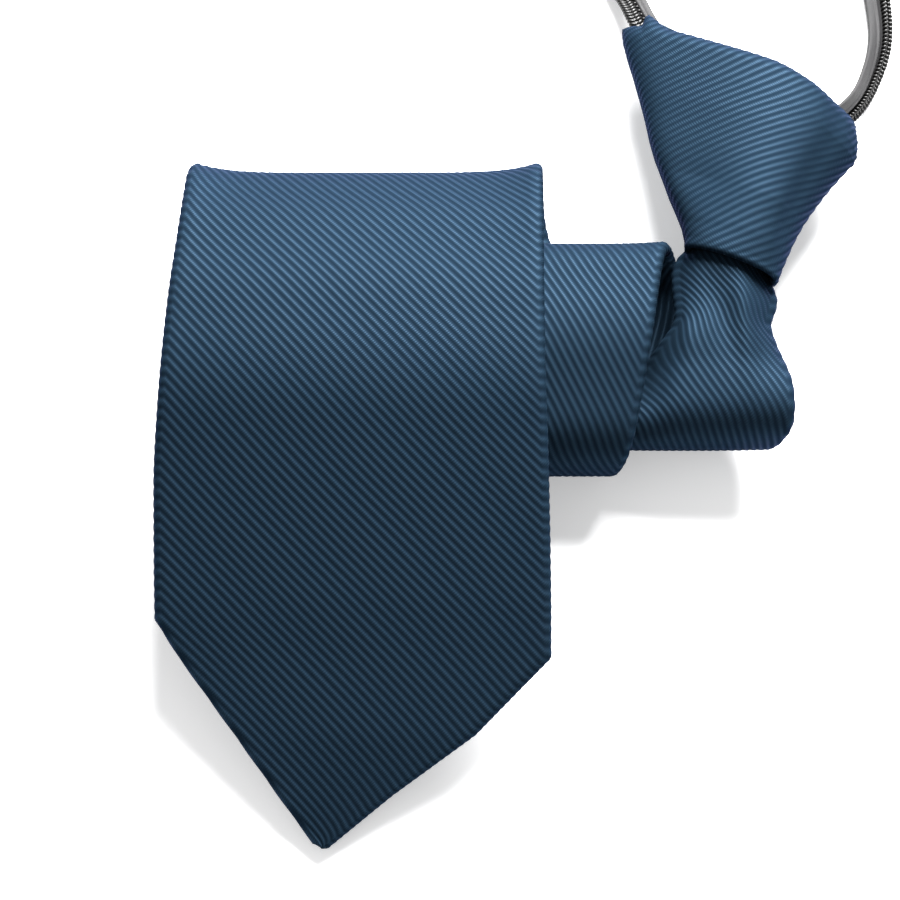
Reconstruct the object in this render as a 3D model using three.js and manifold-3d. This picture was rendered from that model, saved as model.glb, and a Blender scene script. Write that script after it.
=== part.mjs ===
import * as THREE from 'three';
import { mergeVertices } from 'three/addons/utils/BufferGeometryUtils.js';
import Module from 'manifold-3d';

// sizes in millimetres, X to the right, Y towards the neck loop, Z up from the table
const bladeWidth = 80;
const clothThickness = 3;
const layerGap = 0.4;
const rollDepth = 64;
const rollHeight = 33;
const edgeRound = 0.55;
const acrossSteps = 12;
const bendStep = 13;
const runStep = 10;

const knotWidth = 55.6;
const knotThickness = 20;
const knotWall = 1.8;
const knotTilt = 22;
const knotBottom = new THREE.Vector3(58.6, 19.3, 19.2);
const knotTop = new THREE.Vector3(62.6, 69.5, 10.6);
const knotAround = 40;

const tapeWidth = 3.6;
const tapeThickness = 1.4;
const coilWidth = 2.4;
const coilHeight = 2;
const strapGap = 0.3;
const strapFit = 0.6;
const strapStep = 4;
const strapLean = 52;
const loopWidth = 96;
const loopLength = 150;
const loopStart = new THREE.Vector3(0, 60, 0);

const sliderLength = 7;
const sliderHeight = 6;
const sliderBevel = 1.2;

// folds of the cloth band from the knot round the roll to the tip
// depth is a share of rollDepth, lift and bend of rollHeight, left, right, flare and curl of bladeWidth
// wraps and layers count the cloths that lie inside or under the row
const folds = [
  { depth: 0.53, wraps: 0, lift: 0.25, layers: 2, bend: 0, left: 0.68, right: 0.82, flare: 0, curl: 0.015, furrow: 0.004 },
  { depth: 0.375, wraps: 0, lift: 0.315, layers: 2, bend: 0.3, left: 0.678, right: 0.803, flare: 0, curl: 0.025, furrow: 0.006 },
  { depth: 0.3125, wraps: 0, lift: 0.335, layers: 2, bend: 0.3, left: 0.632, right: 0.806, flare: 0, curl: 0.022, furrow: 0.006 },
  { depth: 0.25, wraps: 0, lift: 0.352, layers: 2, bend: 0.3, left: 0.583, right: 0.81, flare: 0, curl: 0.026, furrow: 0.008 },
  { depth: 0.19, wraps: 0, lift: 0.368, layers: 2, bend: 0.3, left: 0.575, right: 0.85, flare: 0, curl: 0.06, furrow: 0.02 },
  { depth: 0.1, wraps: 0, lift: 0.372, layers: 2, bend: 0.3, left: 0.583, right: 0.862, flare: 0, curl: 0.055, furrow: 0.03 },
  { depth: 0.02, wraps: 0, lift: 0.36, layers: 2, bend: 0.3, left: 0.575, right: 0.838, flare: 0, curl: 0.045, furrow: 0.026 },
  { depth: -0.068, wraps: 0, lift: 0.34, layers: 2, bend: 0.3, left: 0.55, right: 0.868, flare: 0, curl: 0.03, furrow: 0.016 },
  { depth: -0.13, wraps: 0, lift: 0.32, layers: 2, bend: 0.3, left: 0.5, right: 0.887, flare: 0, curl: 0.015, furrow: 0.006 },
  { depth: -0.22, wraps: -1, lift: 0.285, layers: 2, bend: 0.2, left: 0.44, right: 0.893, flare: 0, curl: 0.005, furrow: 0 },
  { depth: -0.22, wraps: -1, lift: 0, layers: 1, bend: 0.203, left: 0.365, right: 0.82, flare: 0, curl: 0, furrow: 0 },
  { depth: 0.328, wraps: 1, lift: 0, layers: 1, bend: 0.265, left: 0.06, right: 0.625, flare: 0, curl: 0, furrow: 0 },
  { depth: 0.328, wraps: 1, lift: 0.275, layers: 3, bend: 0.265, left: -0.04, right: 0.568, flare: 0.006, curl: 0, furrow: 0 },
  { depth: 0.05, wraps: 0, lift: 0.425, layers: 3, bend: 0.9, left: -0.13, right: 0.526, flare: 0, curl: 0, furrow: 0 },
  { depth: -0.247, wraps: -2, lift: 0.226, layers: 3, bend: 0.27, left: -0.25, right: 0.47, flare: 0, curl: 0, furrow: 0 },
  { depth: -0.247, wraps: -2, lift: 0, layers: 0, bend: 0.27, left: -0.33, right: 0.42, flare: 0, curl: 0, furrow: 0 },
  { depth: 0.541, wraps: 2, lift: 0, layers: 0, bend: 0.32, left: -0.65, right: 0.26, flare: 0.01, curl: 0, furrow: 0 },
  { depth: 0.541, wraps: 2, lift: 0.318, layers: 2, bend: 0.32, left: -0.696, right: 0.247, flare: 0.028, curl: 0, furrow: 0 },
  { depth: 0.432, wraps: 0, lift: 0.335, layers: 4, bend: 0.75, left: -0.705, right: 0.245, flare: 0.012, curl: 0, furrow: 0 },
  { depth: 0.16, wraps: 0, lift: 0.485, layers: 4, bend: 1.3, left: -0.723, right: 0.242, flare: 0.004, curl: 0, furrow: 0 },
  { depth: -0.06, wraps: 0, lift: 0.515, layers: 4, bend: 1.5, left: -0.739, right: 0.243, flare: 0, curl: 0, furrow: 0 },
  { depth: -0.44, wraps: 0, lift: 0.44, layers: 3, bend: 2, left: -0.754, right: 0.251, flare: 0, curl: 0, furrow: 0 },
  { depth: -0.84, wraps: 0, lift: 0.34, layers: 1.6, bend: 2, left: -0.744, right: 0.257, flare: 0, curl: 0, furrow: 0 },
  { depth: -0.9, wraps: 0, lift: 0.31, layers: 1.5, bend: 0, left: -0.736, right: 0.257, flare: 0, curl: 0, furrow: 0 },
  { depth: -1.014, wraps: 0, lift: 0.262, layers: 1.25, bend: 0, left: -0.681, right: 0.257, flare: 0, curl: 0, furrow: 0 },
  { depth: -1.245, wraps: 0, lift: 0.165, layers: 0.8, bend: 0, left: -0.544, right: 0.065, flare: 0, curl: 0, furrow: 0 },
  { depth: -1.425, wraps: 0, lift: 0.075, layers: 0.4, bend: 0, left: -0.433, right: -0.146, flare: 0, curl: 0, furrow: 0 },
  { depth: -1.578, wraps: 0, lift: 0.004, layers: 0, bend: 0, left: -0.338, right: -0.306, flare: 0, curl: 0, furrow: 0 }
];

// sections of the knot from its lower mouth to its upper edge
// along is a share of the way, width and shift of knotWidth, thick of knotThickness
const knotSections = [
  { along: 0, width: 0.366, shift: 0.018, thick: 0.76 },
  { along: 0.1, width: 0.415, shift: 0.022, thick: 0.82 },
  { along: 0.25, width: 0.52, shift: 0.016, thick: 0.88 },
  { along: 0.42, width: 0.65, shift: 0.01, thick: 0.95 },
  { along: 0.6, width: 0.78, shift: 0.014, thick: 1 },
  { along: 0.78, width: 0.9, shift: 0.016, thick: 1 },
  { along: 0.9, width: 0.965, shift: 0.006, thick: 0.88 },
  { along: 0.97, width: 0.99, shift: 0, thick: 0.66 },
  { along: 1, width: 0.985, shift: 0, thick: 0.4 }
];

// way of the zipper strap, from inside the knot round the neck loop and back
// across is a share of loopWidth, along of loopLength, rise of knotThickness, lean of strapLean
const strapWay = [
  { across: 0.61, along: -0.045, rise: 0.53, lean: 0 },
  { across: 0.54, along: 0.03, rise: 0.53, lean: 0 },
  { across: 0.475, along: 0.1, rise: 0.5, lean: 0 },
  { across: 0.439, along: 0.155, rise: 0.4, lean: 0 },
  { across: 0.423, along: 0.21, rise: 0.2, lean: 0 },
  { across: 0.385, along: 0.27, rise: 0.06, lean: 0 },
  { across: 0.295, along: 0.355, rise: 0.05, lean: 0 },
  { across: 0.17, along: 0.48, rise: 0.05, lean: 0 },
  { across: 0.065, along: 0.62, rise: 0.05, lean: 0 },
  { across: 0.025, along: 0.77, rise: 0.05, lean: 0 },
  { across: 0.08, along: 0.905, rise: 0.05, lean: 0 },
  { across: 0.235, along: 0.985, rise: 0.05, lean: 0 },
  { across: 0.445, along: 0.97, rise: 0.05, lean: 0 },
  { across: 0.64, along: 0.87, rise: 0.05, lean: 0 },
  { across: 0.78, along: 0.73, rise: 0.05, lean: 0 },
  { across: 0.88, along: 0.56, rise: 0.05, lean: 0 },
  { across: 0.952, along: 0.38, rise: 0.05, lean: 0 },
  { across: 0.988, along: 0.225, rise: 0.06, lean: 0.1 },
  { across: 0.99, along: 0.145, rise: 0.12, lean: 0.5 },
  { across: 0.966, along: 0.085, rise: 0.2, lean: 0.85 },
  { across: 0.925, along: 0.03, rise: 0.34, lean: 1 },
  { across: 0.86, along: -0.012, rise: 0.47, lean: 0.9 },
  { across: 0.77, along: -0.04, rise: 0.53, lean: 0.6 }
];

const wasm = await Module();
wasm.setup();

function closedFromRings(rings) {
  const count = rings[0].length;
  const places = [];
  const faces = [];
  for (const ring of rings) {
    for (const spot of ring) places.push(spot.x, spot.y, spot.z);
  }
  for (let row = 0; row < rings.length - 1; row += 1) {
    for (let k = 0; k < count; k += 1) {
      const next = (k + 1) % count;
      const a = row * count + k;
      const b = row * count + next;
      const c = (row + 1) * count + next;
      const d = (row + 1) * count + k;
      faces.push(a, b, c, a, c, d);
    }
  }
  const closeEnd = (row, turned) => {
    const middle = new THREE.Vector3();
    for (const spot of rings[row]) middle.add(spot);
    middle.divideScalar(count);
    const centre = places.length / 3;
    places.push(middle.x, middle.y, middle.z);
    for (let k = 0; k < count; k += 1) {
      const next = (k + 1) % count;
      const a = row * count + k;
      const b = row * count + next;
      if (turned) faces.push(centre, b, a);
      else faces.push(centre, a, b);
    }
  };
  closeEnd(0, true);
  closeEnd(rings.length - 1, false);
  return outward(places, faces);
}

function outward(places, faces) {
  let volume = 0;
  for (let k = 0; k < faces.length; k += 3) {
    const a = new THREE.Vector3().fromArray(places, faces[k] * 3);
    const b = new THREE.Vector3().fromArray(places, faces[k + 1] * 3);
    const c = new THREE.Vector3().fromArray(places, faces[k + 2] * 3);
    volume += a.dot(b.cross(c));
  }
  if (volume < 0) faces.reverse();
  const geometry = new THREE.BufferGeometry();
  geometry.setAttribute('position', new THREE.Float32BufferAttribute(places, 3));
  geometry.setIndex(faces);
  return geometry;
}

function solidOf(geometry) {
  const bare = geometry.clone();
  bare.deleteAttribute('normal');
  bare.deleteAttribute('uv');
  const joined = mergeVertices(bare, 0.00001);
  return new wasm.Manifold(new wasm.Mesh({
    numProp: 3,
    vertProperties: new Float32Array(joined.attributes.position.array),
    triVerts: new Uint32Array(joined.index.array)
  }));
}

function geometryOf(solid) {
  const mesh = solid.getMesh();
  const geometry = new THREE.BufferGeometry();
  geometry.setAttribute('position', new THREE.BufferAttribute(new Float32Array(mesh.vertProperties), 3));
  geometry.setIndex(new THREE.BufferAttribute(new Uint32Array(mesh.triVerts), 1));
  return geometry;
}

function foldPlace(row) {
  const depth = row.depth * rollDepth + row.wraps * (clothThickness + layerGap);
  const height = (row.layers + 0.5) * clothThickness + row.layers * layerGap + row.lift * rollHeight;
  return new THREE.Vector2(depth, height);
}

function bandStations() {
  const corners = folds.map(foldPlace);
  const spots = [];
  const addRun = (from, to, rowFrom, rowTo) => {
    const steps = Math.max(1, Math.round(from.distanceTo(to) / runStep));
    for (let k = 0; k <= steps; k += 1) {
      const share = k / steps;
      spots.push({ place: from.clone().lerp(to, share), row: rowFrom + (rowTo - rowFrom) * share });
    }
  };
  let last = corners[0];
  let lastRow = 0;
  for (let n = 1; n < corners.length - 1; n += 1) {
    const before = corners[n - 1].clone().sub(corners[n]).normalize();
    const after = corners[n + 1].clone().sub(corners[n]).normalize();
    const turn = Math.PI - Math.acos(Math.max(-1, Math.min(1, before.dot(after))));
    const radius = folds[n].bend * rollHeight;
    const reach = radius * Math.tan(turn / 2);
    if (radius === 0 || turn < 0.01) {
      addRun(last, corners[n], lastRow, n);
      last = corners[n];
      lastRow = n;
      continue;
    }
    const start = corners[n].clone().addScaledVector(before, reach);
    const end = corners[n].clone().addScaledVector(after, reach);
    const shareIn = reach / corners[n].distanceTo(corners[n - 1]);
    const shareOut = reach / corners[n].distanceTo(corners[n + 1]);
    addRun(last, start, lastRow, n - shareIn);
    const middle = before.clone().add(after).normalize();
    const centre = corners[n].clone().addScaledVector(middle, radius / Math.cos(turn / 2));
    const from = start.clone().sub(centre);
    const side = Math.sign(before.x * after.y - before.y * after.x);
    const steps = Math.max(2, Math.ceil(THREE.MathUtils.radToDeg(turn) / bendStep));
    for (let k = 1; k < steps; k += 1) {
      const share = k / steps;
      const place = from.clone().rotateAround(new THREE.Vector2(), -side * turn * share).add(centre);
      const row = n - shareIn + (shareIn + shareOut) * share;
      spots.push({ place, row });
    }
    last = end;
    lastRow = n + shareOut;
  }
  addRun(last, corners[corners.length - 1], lastRow, corners.length - 1);
  return spots.filter((spot, n) => n === 0 || spot.place.distanceTo(spots[n - 1].place) > 0.3);
}

function rowValue(name, row) {
  const low = Math.min(Math.floor(row), folds.length - 2);
  return THREE.MathUtils.lerp(folds[low][name], folds[low + 1][name], row - low) * bladeWidth;
}

function bandRing(spot, direction) {
  const left = rowValue('left', spot.row);
  const right = rowValue('right', spot.row);
  const flare = rowValue('flare', spot.row);
  const curl = rowValue('curl', spot.row);
  const furrow = rowValue('furrow', spot.row);
  const out = new THREE.Vector2(-direction.y, direction.x).negate();
  const half = clothThickness / 2;
  const inset = clothThickness * edgeRound;
  const at = (x, lift) => new THREE.Vector3(x, spot.place.x + out.x * lift, spot.place.y + out.y * lift);
  const bow = (across) => {
    const side = Math.abs(across);
    return flare * side ** 6 - curl * side ** 2.4 - furrow * Math.exp(-(((across - 0.55) / 0.22) ** 2));
  };
  const top = [];
  const under = [];
  for (let k = 0; k <= acrossSteps; k += 1) {
    const across = -1 + 2 * k / acrossSteps;
    const x = THREE.MathUtils.lerp(left + inset, right - inset, k / acrossSteps);
    top.push(at(x, half + bow(across)));
    under.push(at(x, -half + bow(across)));
  }
  const roundRight = [0.5, 0, -0.5].map((share) => {
    const x = right - inset * (1 - Math.cos(Math.asin(Math.abs(share) * 1.2)));
    return at(x, clothThickness * share * 0.62 + bow(1));
  });
  const roundLeft = [-0.5, 0, 0.5].map((share) => {
    const x = left + inset * (1 - Math.cos(Math.asin(Math.abs(share) * 1.2)));
    return at(x, clothThickness * share * 0.62 + bow(-1));
  });
  return [...top, ...roundRight, ...under.reverse(), ...roundLeft];
}

function makeBlade() {
  const spots = bandStations();
  const rings = spots.map((spot, n) => {
    const before = spots[Math.max(0, n - 1)].place;
    const after = spots[Math.min(spots.length - 1, n + 1)].place;
    return bandRing(spot, after.clone().sub(before).normalize());
  });
  return closedFromRings(rings);
}

function knotRing(section, inward) {
  const tilt = THREE.MathUtils.degToRad(knotTilt);
  const sideways = new THREE.Vector3(Math.cos(tilt), -Math.sin(tilt), 0);
  const centre = knotBottom.clone().lerp(knotTop, section.along);
  centre.addScaledVector(sideways, section.shift * knotWidth);
  const halfWide = section.width * knotWidth / 2 - inward;
  const halfThick = section.thick * knotThickness / 2 - inward;
  const ring = [];
  for (let k = 0; k < knotAround; k += 1) {
    const angle = 2 * Math.PI * k / knotAround;
    const wide = Math.sign(Math.cos(angle)) * Math.abs(Math.cos(angle)) ** 0.8 * halfWide;
    const thick = Math.sign(Math.sin(angle)) * Math.abs(Math.sin(angle)) ** 0.8 * halfThick;
    ring.push(centre.clone().addScaledVector(sideways, wide).add(new THREE.Vector3(0, 0, thick)));
  }
  return ring;
}

function sectionAt(along) {
  const first = knotSections.findIndex((row) => row.along >= along);
  const high = first < 1 ? 1 : first;
  const low = high - 1;
  const share = (along - knotSections[low].along) / (knotSections[high].along - knotSections[low].along);
  const width = THREE.MathUtils.lerp(knotSections[low].width, knotSections[high].width, share);
  const thick = THREE.MathUtils.lerp(knotSections[low].thick, knotSections[high].thick, share);
  const shift = THREE.MathUtils.lerp(knotSections[low].shift, knotSections[high].shift, share);
  return { along, width, shift, thick };
}

function makeKnot() {
  const outer = closedFromRings(knotSections.map((section) => knotRing(section, 0)));
  const wallShare = knotWall / knotTop.distanceTo(knotBottom);
  const inside = [-0.06, 0.1, 0.25, 0.42, 0.6, 0.78, 0.9, 0.965 - wallShare].map(sectionAt);
  const hollow = closedFromRings(inside.map((section) => knotRing(section, knotWall)));
  const slots = solidOf(strapBody(-tapeWidth / 2 - strapGap - coilWidth, tapeWidth, coilHeight, strapFit));
  const shell = solidOf(outer).subtract(solidOf(hollow)).subtract(slots);
  return geometryOf(shell);
}

function strapCurve() {
  const spots = strapWay.map((row) => new THREE.Vector3(
    row.across * loopWidth,
    loopStart.y + row.along * loopLength,
    row.rise * knotThickness
  ));
  return new THREE.CatmullRomCurve3(spots, false, 'centripetal');
}

function leanAt(share) {
  const row = share * (strapWay.length - 1);
  const low = Math.min(Math.floor(row), strapWay.length - 2);
  return THREE.MathUtils.lerp(strapWay[low].lean, strapWay[low + 1].lean, row - low);
}

// a flat bar along the strap way, low and high are distances from the way towards the inside
function strapBody(low, high, height, spare) {
  const curve = strapCurve();
  const steps = Math.round(curve.getLength() / strapStep);
  const up = new THREE.Vector3(0, 0, 1);
  const rings = [];
  for (let k = 0; k <= steps; k += 1) {
    const place = curve.getPointAt(k / steps);
    const ahead = curve.getTangentAt(k / steps);
    const lean = -THREE.MathUtils.degToRad(strapLean) * leanAt(curve.getUtoTmapping(k / steps));
    const inward = new THREE.Vector3().crossVectors(ahead, up).normalize().applyAxisAngle(ahead, lean);
    const rise = new THREE.Vector3().crossVectors(inward, ahead).normalize();
    const ring = [];
    for (const [across, lift] of barSection(low - spare, high + spare, height + 2 * spare)) {
      const level = lift + (height - coilHeight) / 2;
      ring.push(place.clone().addScaledVector(inward, across).addScaledVector(rise, level));
    }
    rings.push(ring);
  }
  return closedFromRings(rings);
}

function barSection(low, high, height) {
  const half = height / 2;
  const cut = Math.min(half, (high - low) / 2) * 0.45;
  return [
    [low + cut, -half], [high - cut, -half], [high, -half + cut], [high, half - cut],
    [high - cut, half], [low + cut, half], [low, half - cut], [low, -half + cut]
  ];
}

function makeTape() {
  return strapBody(-tapeWidth / 2, tapeWidth / 2, tapeThickness, 0);
}

function makeCoil() {
  const inner = -tapeWidth / 2 - strapGap;
  return strapBody(inner - coilWidth, inner, coilHeight, 0);
}

function makeSlider() {
  const curve = strapCurve();
  const from = curve.getPointAt(0);
  const to = curve.getPointAt(1);
  const wide = from.distanceTo(to) / 2 - strapGap - tapeWidth * 0.43;
  const long = sliderLength / 2;
  const centre = from.clone().add(to).divideScalar(2);
  const levels = [
    { level: -sliderHeight / 2, inset: sliderBevel },
    { level: -sliderHeight / 2 + sliderBevel, inset: 0 },
    { level: sliderHeight / 2 - sliderBevel, inset: 0 },
    { level: sliderHeight / 2, inset: sliderBevel }
  ];
  const rings = levels.map(({ level, inset }) => {
    const ring = [];
    for (let k = 0; k < 16; k += 1) {
      const angle = 2 * Math.PI * k / 16;
      const x = Math.sign(Math.cos(angle)) * Math.abs(Math.cos(angle)) ** 0.6 * (wide - inset);
      const y = Math.sign(Math.sin(angle)) * Math.abs(Math.sin(angle)) ** 0.6 * (long - inset);
      ring.push(new THREE.Vector3(centre.x + x, centre.y + y, centre.z + level));
    }
    return ring;
  });
  return closedFromRings(rings);
}

function tieCloth() {
  return new THREE.MeshStandardMaterial({ color: 0x2b4a67, roughness: 0.5, metalness: 0 });
}

function tapeCloth() {
  return new THREE.MeshStandardMaterial({ color: 0x2c2d30, roughness: 0.8, metalness: 0 });
}

function coilPlastic() {
  return new THREE.MeshStandardMaterial({ color: 0x1d1d1f, roughness: 0.4, metalness: 0 });
}

function sliderMetal() {
  return new THREE.MeshStandardMaterial({ color: 0x3a3b3d, roughness: 0.35, metalness: 0.8 });
}

function addPiece(group, name, geometry, material) {
  const mesh = new THREE.Mesh(geometry, material);
  mesh.name = name;
  group.add(mesh);
}

const group = new THREE.Group();
group.name = 'zipper_tie';
addPiece(group, 'blade', makeBlade(), tieCloth());
addPiece(group, 'knot_wrap', makeKnot(), tieCloth());
addPiece(group, 'zipper_tape', makeTape(), tapeCloth());
addPiece(group, 'zipper_coil', makeCoil(), coilPlastic());
addPiece(group, 'zipper_slider', makeSlider(), sliderMetal());

export default group;
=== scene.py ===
import math

import bpy
import numpy as np
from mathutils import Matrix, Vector


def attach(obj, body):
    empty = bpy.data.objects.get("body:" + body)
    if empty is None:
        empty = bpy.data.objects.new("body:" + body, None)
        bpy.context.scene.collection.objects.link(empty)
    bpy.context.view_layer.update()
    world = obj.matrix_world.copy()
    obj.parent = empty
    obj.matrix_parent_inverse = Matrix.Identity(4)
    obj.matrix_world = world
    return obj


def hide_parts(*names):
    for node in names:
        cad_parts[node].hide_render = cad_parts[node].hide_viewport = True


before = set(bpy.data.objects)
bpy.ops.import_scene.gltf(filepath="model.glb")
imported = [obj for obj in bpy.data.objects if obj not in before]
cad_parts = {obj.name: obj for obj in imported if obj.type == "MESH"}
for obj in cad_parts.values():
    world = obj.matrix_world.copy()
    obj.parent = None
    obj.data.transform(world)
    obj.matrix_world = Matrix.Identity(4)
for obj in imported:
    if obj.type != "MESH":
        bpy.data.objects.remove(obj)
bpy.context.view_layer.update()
bpy.ops.object.select_all(action="DESELECT")
mm = 0.001

cameraPlan = {
    "elevation": 70,  # degrees above the table
    "distance": 600,  # mm from the aim
    "aim": (0, -15, 0),  # mm, on the table in front of the roll
    "lens": 112.9,  # mm on a 36 mm sensor
}


def placeCamera():
    lift = math.radians(cameraPlan["elevation"])
    aim = Vector(cameraPlan["aim"])
    back = Vector((0, -math.cos(lift), math.sin(lift))) * cameraPlan["distance"]
    data = bpy.data.cameras.new("photoCamera")
    data.lens = cameraPlan["lens"]
    data.sensor_width = 36
    data.clip_end = 20
    camera = bpy.data.objects.new("photoCamera", data)
    camera.location = (aim + back) * mm
    camera.rotation_euler = (math.pi / 2 - lift, 0, 0)
    bpy.context.collection.objects.link(camera)
    bpy.context.scene.camera = camera


placeCamera()
print("camera placed")


def newGroup(name, inputs, outputs):
    group = bpy.data.node_groups.new(name, "ShaderNodeTree")
    for label, kind, value in inputs:
        socket = group.interface.new_socket(name=label, in_out="INPUT", socket_type=kind)
        if value is not None:
            socket.default_value = value
    for label, kind in outputs:
        group.interface.new_socket(name=label, in_out="OUTPUT", socket_type=kind)
    start = group.nodes.new("NodeGroupInput")
    end = group.nodes.new("NodeGroupOutput")
    return group, start, end


def mathNode(tree, operation, first, second=None, clamp=False):
    node = tree.nodes.new("ShaderNodeMath")
    node.operation = operation
    node.use_clamp = clamp
    for slot, value in enumerate((first, second)):
        if value is None:
            continue
        if isinstance(value, (int, float)):
            node.inputs[slot].default_value = value
        else:
            tree.links.new(value, node.inputs[slot])
    return node.outputs[0]


def mixColour(tree, share, first, second):
    node = tree.nodes.new("ShaderNodeMix")
    node.data_type = "RGBA"
    for slot, value in ((0, share), (6, first), (7, second)):
        if isinstance(value, (int, float, tuple)):
            node.inputs[slot].default_value = value
        else:
            tree.links.new(value, node.inputs[slot])
    return node.outputs[2]


weavePlan = {
    "stitchRate": 3.2,  # stitches to a rib width
    "stitchStep": 0.5,  # share of a stitch that each next rib is shifted by
    "stitchHeight": 0.2,
    "glintBase": 0.6,
    "glintSwing": 0.5,
    "blotchScale": 1.7,
    "blotch": 0.5,
}


# corded cloth: the UV map counts ribs in U and rib widths along the cord in V
def buildRibWeave():
    group, start, end = newGroup(
        "ribWeave",
        [
            ("UV", "NodeSocketVector", None),
            ("Lit ridge colour", "NodeSocketColor", (0.03, 0.08, 0.14, 1)),
            ("Shaded groove colour", "NodeSocketColor", (0.008, 0.03, 0.07, 1)),
            ("Painted sparkle", "NodeSocketFloat", 0.3),
        ],
        [("Colour", "NodeSocketColor"), ("Height", "NodeSocketFloat"), ("Glint", "NodeSocketFloat")],
    )
    split = group.nodes.new("ShaderNodeSeparateXYZ")
    group.links.new(start.outputs["UV"], split.inputs[0])
    across, along = split.outputs[0], split.outputs[1]
    wave = mathNode(group, "COSINE", mathNode(group, "MULTIPLY", across, math.tau))
    ridge = mathNode(group, "MULTIPLY_ADD", wave, 0.5)
    ridge.node.inputs[2].default_value = 0.5
    # each cord is bound by small stitches that step from rib to rib
    step = mathNode(group, "MULTIPLY", across, weavePlan["stitchStep"])
    rate = mathNode(group, "MULTIPLY", along, weavePlan["stitchRate"])
    stitchWay = mathNode(group, "ADD", rate, step)
    stitch = mathNode(group, "COSINE", mathNode(group, "MULTIPLY", stitchWay, math.tau))
    blotchAndPaintedSparkle = group.nodes.new("ShaderNodeTexNoise")
    blotchAndPaintedSparkle.inputs["Scale"].default_value = weavePlan["blotchScale"]
    blotchAndPaintedSparkle.inputs["Detail"].default_value = 2
    group.links.new(start.outputs["UV"], blotchAndPaintedSparkle.inputs["Vector"])
    # painted sparkle: the colour brightens on the stitch crests over each cord and darkens between them, as small
    # painted highlights
    raised = mathNode(group, "MULTIPLY", stitch, ridge)
    paintedSparkle = mathNode(group, "MULTIPLY", raised, start.outputs["Painted sparkle"])
    uneven = mathNode(group, "SUBTRACT", blotchAndPaintedSparkle.outputs[0], 0.5)
    blotch = mathNode(group, "MULTIPLY", uneven, weavePlan["blotch"])
    shine = mathNode(group, "ADD", mathNode(group, "ADD", ridge, paintedSparkle), blotch, True)
    # painted light: the darker groove colour is painted shade in the grooves, and the lighter ridge colour is a
    # painted highlight on the cords
    colour = mixColour(group, shine, start.outputs["Shaded groove colour"], start.outputs["Lit ridge colour"])
    bound = mathNode(group, "MULTIPLY", stitch, weavePlan["stitchHeight"])
    height = mathNode(group, "ADD", ridge, bound)
    swing = mathNode(group, "MULTIPLY", stitch, weavePlan["glintSwing"])
    crest = mathNode(group, "MULTIPLY", ridge, ridge)
    glint = mathNode(group, "MULTIPLY", crest, mathNode(group, "ADD", swing, weavePlan["glintBase"]), True)
    group.links.new(colour, end.inputs["Colour"])
    group.links.new(height, end.inputs["Height"])
    group.links.new(glint, end.inputs["Glint"])
    return group


ribWeave = buildRibWeave()


def newMaterial(name):
    material = bpy.data.materials.new(name)
    material.use_nodes = True
    return material, material.node_tree, material.node_tree.nodes["Principled BSDF"]


clothLook = {
    # ridge and groove colours are painted light: the groove colour is darker to paint shade into the grooves, and
    # the ridge colour lighter to paint the lit cords
    "ridge": (0.0095, 0.021, 0.035, 1),
    "groove": (0.0066, 0.0138, 0.0235, 1),
    # strength of the painted sparkle on the stitches
    "blotchAndPaintedSparkle": 0.55,
    "roughness": 0.52,
    "grooveRoughness": 0.8,
    "tint": (0.12, 0.32, 0.55, 1),
    "ior": 1.2,
    "metallic": 0.8,
    "bump": 0.42,
    "bumpDepth": 0.12,  # mm
    "glintIor": 1.4,
    "glint": 0.08,
    "glintRoughness": 0.42,
}


def makeTieCloth():
    material, tree, shader = newMaterial("tieCloth")
    uv = tree.nodes.new("ShaderNodeUVMap")
    uv.uv_map = "cloth"
    weave = tree.nodes.new("ShaderNodeGroup")
    weave.node_tree = ribWeave
    weave.inputs["Lit ridge colour"].default_value = clothLook["ridge"]
    weave.inputs["Shaded groove colour"].default_value = clothLook["groove"]
    weave.inputs["Painted sparkle"].default_value = clothLook["blotchAndPaintedSparkle"]
    tree.links.new(uv.outputs[0], weave.inputs["UV"])
    tree.links.new(weave.outputs["Colour"], shader.inputs["Base Color"])
    bump = tree.nodes.new("ShaderNodeBump")
    bump.inputs["Strength"].default_value = clothLook["bump"]
    bump.inputs["Distance"].default_value = clothLook["bumpDepth"] * mm
    tree.links.new(weave.outputs["Height"], bump.inputs["Height"])
    tree.links.new(bump.outputs[0], shader.inputs["Normal"])
    tree.links.new(bump.outputs[0], shader.inputs["Coat Normal"])
    shine = mathNode(tree, "MULTIPLY", weave.outputs["Glint"], clothLook["glint"])
    tree.links.new(shine, shader.inputs["Coat Weight"])
    shader.inputs["Coat Roughness"].default_value = clothLook["glintRoughness"]
    shader.inputs["Coat IOR"].default_value = clothLook["glintIor"]
    drop = clothLook["roughness"] - clothLook["grooveRoughness"]
    dull = mathNode(tree, "MULTIPLY_ADD", weave.outputs["Glint"], drop)
    dull.node.inputs[2].default_value = clothLook["grooveRoughness"]
    tree.links.new(dull, shader.inputs["Roughness"])
    shader.inputs["IOR"].default_value = clothLook["ior"]
    shader.inputs["Metallic"].default_value = clothLook["metallic"]
    shader.inputs["Specular Tint"].default_value = clothLook["tint"]
    return material


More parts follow.
